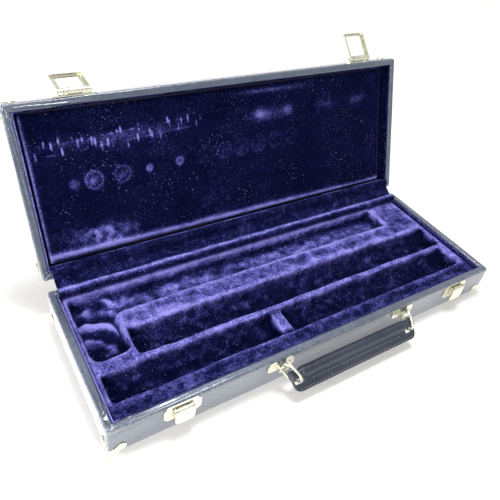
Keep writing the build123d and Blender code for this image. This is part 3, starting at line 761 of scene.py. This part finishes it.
def pocket_folds(points, x, y, z):
    """Heights of the folds in the pocket's loose cloth."""
    corner_x = -184
    corner_y = -2
    warp = 3.4 * ripple(points, 17 * MM, 6)
    inside = past(x, -153, -2.0) * past(y, -18, 1.5) * ramp(z, 27, -8)
    from_corner = np.hypot(x - corner_x, (y - corner_y) * 0.86) + warp
    folds = 1.5
    # Arc folds of these radii, widths and heights run round the pocket's front left corner.
    for radius, width, height in ((18, 3.0, 2.0), (31, 3.4, 6.0), (45, 4.0, 1.6), (56, 3.4, 3.8)):
        folds = folds + height * hump(from_corner, radius, width) * (y > -3)
    # The cross fold lies before them.
    folds += 6.0 * hump(y + 0.6 * warp + 0.14 * (x + 185), -6.0, 2.8)
    creases = 2.0 * ripple(points, (9 * MM, 15 * MM, 15 * MM), 8) + 0.9 * ripple(points, 5 * MM, 9)
    return inside * (folds + creases)


def crush_bed(mesh):
    """Crushed cloth on the floors, softer on the ridges, and the pocket's folds."""
    points = coordinates(mesh)
    normals = normals_of(mesh)
    x, y, z = (points / MM).T
    upward = np.clip(normals[:, 2], 0, 1)
    inside = ramp(np.abs(x), BED_SIDE_X, -3) * ramp(np.abs(y), BED_SIDE_Y, -3)
    deep = ramp(z, 25, -10)
    crumple = 1.2 * ripple(points, (13 * MM, 8 * MM, 8 * MM), 1) + 0.56 * ripple(points, 4.5 * MM, 2)
    swell = 0.60 * ripple(points, 12 * MM, 3) + 0.30 * ripple(points, 4 * MM, 4)
    folds = pocket_folds(points, x, y, z)
    rise = upward * inside * (folds + deep * inside * crumple + swell)
    points = points + normals * (0.5 * MM * ripple(points, 6 * MM, 5) * inside)[:, None]
    points[:, 1] += 0.9 * MM * ripple(points, (30 * MM, 14 * MM, 30 * MM), 7) * inside
    points[:, 2] = np.minimum(points[:, 2] + rise * MM, bed_top + 0.9 * MM)
    move_points(mesh, points)


def paint_bed_light_and_ruffle(mesh):
    """Painted light on the bed's pile: painted highlight on what stands out, higher up and on the
    pocket's folds, painted shade in the hollows; also lighter towards the hinges and along the back
    ridge, darker on the front ledge. It sets how far the pile is crushed, too.
    """
    points = coordinates(mesh)
    x, y, z = (points / MM).T
    in_pocket = (x < POCKET_RIGHT) & (y > POCKET_FRONT)
    broad = np.clip(relief(mesh, 70) / 2.2, -1, 1)
    narrow = np.clip(relief(mesh, 14) / 0.55, -1, 1)
    # Painted highlight on what stands out and higher up, painted shade in the hollows.
    pile_and_painted_light = 0.47 + 0.05 * ramp(z, 10, 13) + 0.18 * broad + 0.12 * narrow
    pile_and_painted_light += 0.0014 * y
    pile_and_painted_light += 0.14 * hump(y, BACK_RIDGE_Y, 12) * (x > BACK_RIDGE_LEFT) * (x < BACK_RIDGE_RIGHT)
    pile_and_painted_light -= 0.22 * past(y, FRONT_LEDGE_Y, -1.5)
    pile_and_painted_light += 0.06 * hump(y, FRONT_GROOVE_Y, 9) * (z < 18)
    # Painted highlight on the pocket's folds, painted shade between them.
    pile_and_painted_light += in_pocket * (0.045 * pocket_folds(points, x, y, z) - 0.06)
    set_attribute(mesh, "pile_and_painted_light", pile_and_painted_light)
    set_attribute(mesh, "ruffle", np.where(in_pocket, POCKET_RUFFLE, BED_RUFFLE))


# --- the lid's pad: x, y, z and all that is measured with them are in millimetres ---------------
PAD_DROP = 10.0 * MM
PAD_CARD_T = 1.5 * MM
PAD_CARD_GAP = 0.2 * MM
PAD_SIDE_GAP = 0.6 * MM
PAD_SWELL = 1.0 * MM
PAD_VOXEL = 2.6 * MM
PAD_PRESSURE = 4
PAD_FRAMES = 20
PAD_RUFFLE = 0.22
pad_top = LID_HEIGHT - PAD_DROP
HINGE_ROLL_Y = -59.2
LEFT_EDGE_X = -189.6
TURNED_UP_X = -190.8
TURNED_UP_HEIGHT = 6.0
# Along the lid, radius and depth of the dents that the key cups leave, from the left.
CUP_DENTS = (
    (-157, 3.5, 0.55),
    (-140, 7.5, 0.85),
    (-115, 7.0, 0.7),
    (-90, 2.6, 1.0),
    (-60, 3.4, 0.9),
)
FAINT_DENTS = tuple((-34 + 20 * step, 7.5, 0.30) for step in range(6))
# Along the lid, length and depth of the smears that the tubes leave.
TUBE_SMEARS = (
    (35, 16, 0.45),
    (28, 5, 0.25),
    (62, 7, 0.50),
    (110, 14, 0.26),
    (152, 12, 0.30),
)


def pad_blank():
    """The pad before it is stuffed: an even slab, lower than the pad by what it swells."""
    half_x = bed_half_x - PAD_SIDE_GAP
    half_y = bed_half_y - PAD_SIDE_GAP
    low = SHELL_FLOOR + PAD_CARD_T + PAD_CARD_GAP
    high = pad_top - PAD_SWELL
    blank = bmesh.new()
    bmesh.ops.create_cube(blank, size=2)
    for corner in blank.verts:
        x, y, z = corner.co
        corner.co = (x * half_x, y * half_y, low if z < 0 else high)
    mesh = bpy.data.meshes.new("lid_pad_velvet")
    blank.to_mesh(mesh)
    blank.free()
    piece = placed("lid_pad_velvet", mesh)
    even_out(piece, PAD_VOXEL)
    return piece


def stuff(piece):
    """A cloth simulation under pressure crowns the slab; no point moves by more than PAD_SWELL."""
    start = coordinates(piece.data)
    cloth = piece.modifiers.new("stuffing", "CLOTH")
    cloth.settings.use_pressure = True
    cloth.settings.uniform_pressure_force = PAD_PRESSURE
    cloth.settings.effector_weights.gravity = 0
    cloth.point_cache.frame_end = PAD_FRAMES
    for step in range(1, PAD_FRAMES + 1):
        bpy.context.scene.frame_set(step)
    apply_modifiers(piece)
    bpy.context.scene.frame_set(1)
    moved = coordinates(piece.data) - start
    reach = np.linalg.norm(moved, axis=1)
    moved *= np.minimum(1, PAD_SWELL / np.maximum(reach, 1e-9))[:, None]
    move_points(piece.data, start + moved)


def pad_marks_and_painted_highlights(x, y):
    """Where the pile is pressed by keys and tubes, from 0 to 1, seen in the lid's own frame, with a
    painted highlight on the left side of each cup dent.
    """
    marks = 0.30 * hump(y, 35, 5) * hump(x, -120, 45)
    for across, size, pressed in CUP_DENTS + FAINT_DENTS:
        away = np.hypot(x - across, y - 1.5 - 0.03 * (across + 157))
        floor_of_dent = 0.45 * hump(away, 0, size * 0.8)
        rim_of_dent = 0.45 * hump(away, size, 1.3)
        # A painted highlight on the left side of the dent.
        painted_highlight = 0.30 * hump(np.hypot(x - across + 0.3 * size, y - 0.5), 0, size * 0.5)
        marks += pressed * (floor_of_dent + rim_of_dent + painted_highlight)
    for across, length, pressed in TUBE_SMEARS:
        marks += pressed * hump(x, across, length) * hump(y, 34, 5.5)
    marks += 0.45 * hump(y, 56, 2.2) * hump(x, 40, 40)
    return np.clip(marks, 0, 1)


def lid_pad():
    """The padded lining of the lid, marked by what is shut under it."""
    piece = pad_blank()
    stuff(piece)
    divide = piece.modifiers.new("divide", "SUBSURF")
    divide.levels = 1
    apply_modifiers(piece)
    mesh = piece.data
    points = coordinates(mesh)
    x, y, z = (points / MM).T
    top = ramp(z, 7, 2)
    edge_x = bed_half_x / MM - np.abs(x)
    edge_y = bed_half_y / MM - np.abs(y)
    marks = pad_marks_and_painted_highlights(x, y)
    # The hinge side ends in a fuller roll, and the left edge is turned up against the lining.
    roll = hump(y + 0.012 * x, HINGE_ROLL_Y, 3.4)
    turned_up = hump(x, TURNED_UP_X, 4.4) * ramp(edge_y, 0, 4)
    fade = ramp(np.minimum(edge_x, edge_y), 0, 8)
    depth = 0.35 * ripple(points, 30 * MM, 11) + 0.15 * ripple(points, 8 * MM, 12)
    depth += 0.9 * roll - 0.9 * marks
    points[:, 2] += top * (fade + roll * (1 - fade)) * depth * MM
    points[:, 2] = np.minimum(points[:, 2], pad_top + 1.2 * MM)
    points[:, 2] += top * TURNED_UP_HEIGHT * MM * turned_up
    move_points(mesh, points)
    # Painted light on the pad: set darker overall than the bed as painted shade, with painted highlights
    # along the hinge roll, the left edge and the right end; the marks are lighter.
    pile_and_painted_light = 0.18 + 0.95 * marks * top
    pile_and_painted_light += 0.88 * roll * top * (0.9 + 0.30 * ripple(points, (14 * MM, 9 * MM, 9 * MM), 14))
    pile_and_painted_light += 0.70 * hump(x, LEFT_EDGE_X, 2.6) * hump(y, 0, 140)
    pile_and_painted_light += 0.55 * hump(edge_x, 2.6, 1.5) * (x > 0) * (0.8 + 0.5 * ripple(points, 9 * MM, 15))
    pile_and_painted_light += patches(points, x, y)
    set_attribute(mesh, "pile_and_painted_light", pile_and_painted_light)
    set_attribute(mesh, "ruffle", PAD_RUFFLE)
    set_attribute(mesh, "along", x * MM)
    set_attribute(mesh, "across", y * MM)
    set_attribute(mesh, "keyed", top * past(x, -183, 1.5) * past(x, -34, -2))
    mesh.materials.append(pad_velvet)
    mesh.shade_smooth()
    mesh.transform(LID)
    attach(piece, "lid")
    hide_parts("lid_pad")


def patches(points, x, y):
    """Lighter patches on the pad: one clear one low at the left, and two faint ones."""
    clear = 0.56 * hump(y + 0.10 * (x + 138), -46, 8) * hump(x, -138, 30)
    faint = 0.05 * hump(y, 42, 22) * hump(x, -60, 120) + 0.03 * hump(y, -25, 18) * hump(x, -20, 90)
    return clear * (1 + ripple(points, 6 * MM, 13)) + faint


# --- gusset -------------------------------------------------------------------------------------
GUSSET_T = 0.7 * MM
GUSSET_ROWS = 60
GUSSET_COLUMNS = 240
GUSSET_SIDE_GAP = 0.5 * MM
GUSSET_RUFFLE = 0.45


def gusset_control():
    """The gusset's course in the YZ plane: from its lap on the bed to its lap on the lid's pad."""
    back = bed_half_y - 0.9 * MM
    crest = tray_height + 1.1 * MM
    half_run = [
        (back, bed_top - 3 * MM),
        (back - 0.2 * MM, bed_top + 1.0 * MM),
        (back - 2.4 * MM, tray_height - 0.6 * MM),
        (back - 1.0 * MM, crest + 2.0 * MM),
        (back + 2.6 * MM, crest + 2.6 * MM),
        (back + 6.6 * MM, crest + 0.4 * MM),
    ]
    mirrored = [swing_open @ Vector((0, y, 2 * hinge.z - z)) for y, z in reversed(half_run)]
    return [Vector((0, y, z)) for y, z in half_run] + mirrored


def gusset_points(centre, run, half_x):
    """The rows of the waved sheet along its centre line."""
    points = []
    for row, spot in enumerate(centre):
        before = centre[max(row - 1, 0)]
        after = centre[min(row + 1, GUSSET_ROWS - 1)]
        along = (after - before).normalized()
        out = Vector((0, -along.z, along.y))
        slack = min(1, min(row, GUSSET_ROWS - 1 - row) / 8)
        for step in range(GUSSET_COLUMNS + 1):
            x = -half_x + 2 * half_x * step / GUSSET_COLUMNS
            broad = noise.noise(Vector((x / (34 * MM), run[row] / (7 * MM), 4.2)))
            fine = noise.noise(Vector((x / (9 * MM), run[row] / (4 * MM), 9.1)))
            wave = slack * (1.1 * broad + 0.45 * fine) * MM
            points.append(spot + out * wave + Vector((x, 0, 0)))
    return points


def gusset():
    """The velvet strip that joins the bed to the lid pad across the hinges."""
    control = gusset_control()
    centre = spline_through(control, GUSSET_ROWS)
    half_x = bed_half_x - GUSSET_SIDE_GAP
    run = [0.0]
    for here, after in zip(centre, centre[1:]):
        run.append(run[-1] + (after - here).length)
    across = GUSSET_COLUMNS + 1
    faces = []
    for row in range(GUSSET_ROWS - 1):
        for step in range(GUSSET_COLUMNS):
            this = row * across + step
            faces.append((this, this + 1, this + 1 + across, this + across))
    points = gusset_points(centre, run, half_x)
    piece = add_mesh("gusset_velvet", points, faces, velvet)
    share = np.repeat(np.linspace(0, 1, GUSSET_ROWS), across)
    # Painted highlights along the gusset's rolls, darker between them.
    painted_highlight_bands = hump(share, 0.30, 0.055) + 0.6 * hump(share, 0.06, 0.03) + 0.7 * hump(share, 0.97, 0.05)
    set_attribute(piece.data, "pile_and_painted_light", 0.30 + 0.56 * painted_highlight_bands)
    set_attribute(piece.data, "ruffle", GUSSET_RUFFLE)
    thick = piece.modifiers.new("thick", "SOLIDIFY")
    thick.thickness = GUSSET_T
    thick.offset = 0
    apply_modifiers(piece)
    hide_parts("gusset")
    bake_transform(piece)


def spline_through(control, count):
    """Evenly spaced points on a smooth curve with these control points."""
    curve = bpy.data.curves.new("guide", "CURVE")
    curve.dimensions = "3D"
    line = curve.splines.new("NURBS")
    line.points.add(len(control) - 1)
    for spot, target in zip(line.points, control):
        spot.co = (*target, 1)
    line.order_u = 3
    line.use_endpoint_u = True
    line.resolution_u = 24
    guide = placed("guide", curve)
    mesh = bpy.data.meshes.new_from_object(guide)
    dense = [vertex.co.copy() for vertex in mesh.vertices]
    bpy.data.objects.remove(guide)
    bpy.data.curves.remove(curve)
    bpy.data.meshes.remove(mesh)
    lengths = [(after - here).length for here, after in zip(dense, dense[1:])]
    run = np.concatenate(([0], np.cumsum(lengths)))
    wanted = np.linspace(0, run[-1], count)
    table = np.array(dense)
    return [Vector([np.interp(reach, run, table[:, axis]) for axis in range(3)]) for reach in wanted]


# --- handle -------------------------------------------------------------------------------------
GRIP_VOXEL = 0.62 * MM
GRIP_WEAR = 0.40
DROOP = radians(38)
FLAP_T = 3.4 * MM
SLOT_REACH = 18 * MM
# The two rows of stitches: how far out on the flap, and how far they stop short of its ends.
STITCH_ROWS = ((7.3 * MM, SLOT_REACH), (12.2 * MM, 4 * MM))
STITCH_PITCH = 3.0 * MM
STITCH_LENGTH = 2.1 * MM
STITCH_SUNK = 0.12 * MM
THREAD_R = 0.34 * MM


def grip():
    """The padded grip: vinyl folded round a roll and stitched along its flap."""
    piece = remeshed("grip_vinyl", ("grip_core", "grip_cover"), GRIP_VOXEL, grip_finish)
    smooth(piece, 2)
    mesh = piece.data
    points = coordinates(mesh)
    soft = 0.16 * ripple(points, (12 * MM, 5 * MM, 5 * MM), 21) + 0.06 * ripple(points, 2 * MM, 22) - 0.10
    move_points(mesh, points + normals_of(mesh) * (soft * MM)[:, None])
    set_attribute(mesh, "wear", GRIP_WEAR)
    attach(piece, "grip")
    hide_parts("grip_cover")


def stitches():
    """Two rows of stitches through the flap, on both of its faces."""
    core_low, core_high = (Vector(corner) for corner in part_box("grip_core"))
    cover_low, cover_high = (Vector(corner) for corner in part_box("grip_cover"))
    middle = (core_low + core_high) / 2
    half = (cover_high.x - cover_low.x) / 2
    flap = Vector((0, -cos(DROOP), -sin(DROOP)))
    face = Vector((0, -sin(DROOP), cos(DROOP)))
    points = []
    faces = []
    for reach, end_gap in STITCH_ROWS:
        span = half - end_gap
        count = int(2 * span / STITCH_PITCH)
        for side in (-1, 1):
            for step in range(count):
                seat = middle + flap * reach + face * side * (FLAP_T / 2 - STITCH_SUNK)
                seat.x = middle.x - span + STITCH_PITCH * (step + 0.5)
                stitch(points, faces, seat, face * side, flap)
    piece = add_mesh("grip_stitches", points, faces, thread)
    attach(piece, "grip")


def stitch(points, faces, seat, up, across):
    """One bowed stitch along X, its ends sunk in the cloth."""
    row_count = 7
    rows = []
    for row in range(row_count):
        share = row / (row_count - 1)
        bow = sin(pi * share)
        along = Vector((STITCH_LENGTH * (share - 0.5), 0, 0))
        middle = seat + along + up * THREAD_R * (1.5 * bow - 0.9)
        rows.append((middle, THREAD_R * (0.55 + 0.45 * bow)))
    add_tube(points, faces, rows, 6, across, up)


# --- nails --------------------------------------------------------------------------------------
NAIL_R = 1.3 * MM
NAIL_RISE = 0.50 * MM
NAIL_SINK = 0.05 * MM
NAIL_RIM_R = NAIL_R * 0.96
SHANK_R = 0.55 * MM
TIP_R = 0.1 * MM
TIP_LENGTH = 0.8 * MM
SAME_POINT = 0.005 * MM


def domed_nails(node_name, body):
    """Round-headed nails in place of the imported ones, one for each."""
    loose = bmesh.new()
    loose.from_mesh(frame["nodes"][node_name].data)
    bmesh.ops.remove_doubles(loose, verts=loose.verts, dist=SAME_POINT)
    loose.verts.index_update()
    seen = set()
    points = []
    faces = []
    # In the mesh's own order, the same in each run.
    for first in loose.verts:
        if first.index in seen:
            continue
        seen.add(first.index)
        island = [first]
        # The list grows as it is walked.
        for vertex in island:
            for link in vertex.link_edges:
                other = link.other_vert(vertex)
                if other.index not in seen:
                    seen.add(other.index)
                    island.append(other)
        nail(points, faces, np.array([vertex.co for vertex in island]))
    loose.free()
    piece = add_mesh(node_name.replace("nails", "domes"), points, faces, nickel)
    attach(piece, body)
    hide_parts(node_name)


def nail(points, faces, cloud):
    """A dome and a shank along the longest axis of one packed nail."""
    centre = (cloud.max(axis=0) + cloud.min(axis=0)) / 2
    spread = cloud - cloud.mean(axis=0)
    axis = np.linalg.eigh(spread.T @ spread)[1][:, 2]
    along = (cloud - centre) @ axis
    off = np.linalg.norm((cloud - centre) - np.outer(along, axis), axis=1)
    if along[np.argmax(off)] < 0:
        axis = -axis
        along = -along
    up = Vector(axis)
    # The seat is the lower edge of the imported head, the widest ring of points.
    seat = Vector(centre) + up * along[off > 0.9 * off.max()].min()
    tip = Vector(centre) + up * along.min()
    under = seat - up * NAIL_SINK
    rows = [(tip, TIP_R), (tip + up * TIP_LENGTH, SHANK_R), (under, SHANK_R), (under, NAIL_RIM_R)]
    dome_steps = 5
    for step in range(dome_steps):
        turn = pi / 2 * step / dome_steps
        rows.append((seat + up * NAIL_RISE * sin(turn), NAIL_R * cos(turn)))
    side = up.orthogonal().normalized()
    add_tube(points, faces, rows, 20, side, up.cross(side))


# --- studio -------------------------------------------------------------------------------------
# The camera was solved from the corners of tray and lid that the photograph shows.
CAMERA_PLACE = (-0.24670, -0.25306, 0.35364)
CAMERA_RIGHT = Vector((0.84689, -0.51654, 0.12636))
CAMERA_UP = Vector((0.25769, 0.60649, 0.75217))
CAMERA_FORWARD = Vector((0.46517, 0.60444, -0.64674))
CAMERA_LENS = 37.125
CAMERA_SENSOR = 36
FLOOR_HALF = 12.0
FLOOR_DROP = 0.05 * MM


def camera():
    lens = bpy.data.cameras.new("camera")
    lens.sensor_width = CAMERA_SENSOR
    lens.sensor_fit = "HORIZONTAL"
    lens.lens = CAMERA_LENS
    lens.clip_start = 0.01
    rig = placed("camera", lens)
    turned = Matrix((CAMERA_RIGHT, CAMERA_UP, -CAMERA_FORWARD)).transposed().to_4x4()
    rig.matrix_world = Matrix.Translation(CAMERA_PLACE) @ turned
    bpy.context.scene.camera = rig


def lamp(name, place, target, size, watts, colour=(1, 1, 1)):
    light = bpy.data.lights.new(name, "AREA")
    light.size = size
    light.energy = watts
    light.color = colour
    rig = placed(name, light)
    rig.location = place
    aim = Vector(target) - Vector(place)
    rig.rotation_euler = aim.to_track_quat("-Z", "Y").to_euler()


def floor():
    """White paper that glows for the camera, more so farther off, and keeps the case's shadow; in
    reflections it glows too, brighter on the left, as a painted reflection.
    """
    corners = [(-FLOOR_HALF, -FLOOR_HALF), (FLOOR_HALF, -FLOOR_HALF)]
    corners += [(FLOOR_HALF, FLOOR_HALF), (-FLOOR_HALF, FLOOR_HALF)]
    mesh = bpy.data.meshes.new("floor")
    mesh.from_pydata([(x, y, -FLOOR_DROP) for x, y in corners], [], [(0, 1, 2, 3)])
    n = Nodes("floor_paper")
    fibre = n.noise(4 * MM, 3)
    n.set(Base_Color=n.steps(fibre, (0.3, PAPER_DARK), (0.7, PAPER_LIGHT)), Roughness=0.9)
    n.set(Specular_IOR_Level=0.0)
    path = n.node("ShaderNodeLightPath").outputs
    seen = n.math("MAXIMUM", path["Is Camera Ray"], path["Is Transmission Ray"])
    # A painted reflection: mirrored in the case, the floor glows brighter on the left.
    across = n.node("ShaderNodeSeparateXYZ", Vector=n.place).outputs["X"]
    painted_reflection = n.steps(n.math("ADD", across, 0.5), (0.35, 0.95), (0.70, 0.50))
    mirrored = n.math("MULTIPLY", path["Is Glossy Ray"], painted_reflection)
    away = n.node("ShaderNodeVectorMath", {"operation": "LENGTH"}, Vector=n.place).outputs["Value"]
    glow = n.steps(n.math("DIVIDE", away, 6.0), (0.033, 0.16), (0.233, 0.46), (0.80, 0.72))
    strength = n.math("MAXIMUM", n.math("MULTIPLY", seen, glow), mirrored)
    n.set(Emission_Color=PAPER_GLOW, Emission_Strength=strength)
    mesh.materials.append(n.material)
    placed("floor", mesh)


def world():
    """White to the camera, fainter as light and in mirrors."""
    bpy.context.scene.world = bpy.context.scene.world or bpy.data.worlds.new("world")
    room = bpy.context.scene.world
    room.use_nodes = True
    tree = room.node_tree
    path = tree.nodes.new("ShaderNodeLightPath").outputs
    mirrored = tree.nodes.new("ShaderNodeMapRange")
    mirrored.inputs["To Min"].default_value = 0.35
    mirrored.inputs["To Max"].default_value = 0.85
    tree.links.new(path["Is Glossy Ray"], mirrored.inputs["Value"])
    strength = tree.nodes.new("ShaderNodeMapRange")
    strength.inputs["To Max"].default_value = 1.0
    tree.links.new(path["Is Camera Ray"], strength.inputs["Value"])
    tree.links.new(mirrored.outputs[0], strength.inputs["To Min"])
    background = tree.nodes["Background"]
    background.inputs["Color"].default_value = (1, 1, 1, 1)
    tree.links.new(strength.outputs[0], background.inputs["Strength"])


def studio():
    camera()
    lamp("key", (-0.75, -0.90, 0.65), (0, 0.02, 0.05), 0.22, 10.0, (1.0, 0.99, 0.97))
    lamp("panel", (0.22, 0.32, 1.65), (0, 0, 0.02), 0.45, 20.0)
    lamp("side", (-1.25, 0.35, 0.50), (-0.2, 0.05, 0.0), 0.30, 6.0)
    floor()
    world()
    bpy.context.scene.view_settings.view_transform = "Standard"


# --- the case -----------------------------------------------------------------------------------
studio()
dress_frame()
cover("tray_vinyl", tray_height, "tray", TRAY, "tray_cover", 1.0, TRAY_SLACK)
cover("lid_vinyl", LID_HEIGHT, "lid", LID, "lid_cover", 5.0, LID_SLACK)
# The last number sets each lining's lightness; the lid's is set darker, as painted shade.
wall_lining("tray_lining_velvet", tray_height, "tray", TRAY, "tray_wall_lining", 31.0, 0.34)
wall_lining("lid_lining_velvet", LID_HEIGHT, "lid", LID, "lid_wall_lining", 41.0, 0.20)
bed()
lid_pad()
gusset()
grip()
stitches()
for nails_name, nails_body in (
    ("tray_guard_nails", "tray"),
    ("lid_guard_nails", "lid"),
    ("latch_nails", "tray"),
    ("bracket_nails", "tray"),
    ("bail_plate_nails", "lid"),
    ("tray_hinge_nails", "tray"),
    ("lid_hinge_nails", "lid"),
):
    domed_nails(nails_name, nails_body)
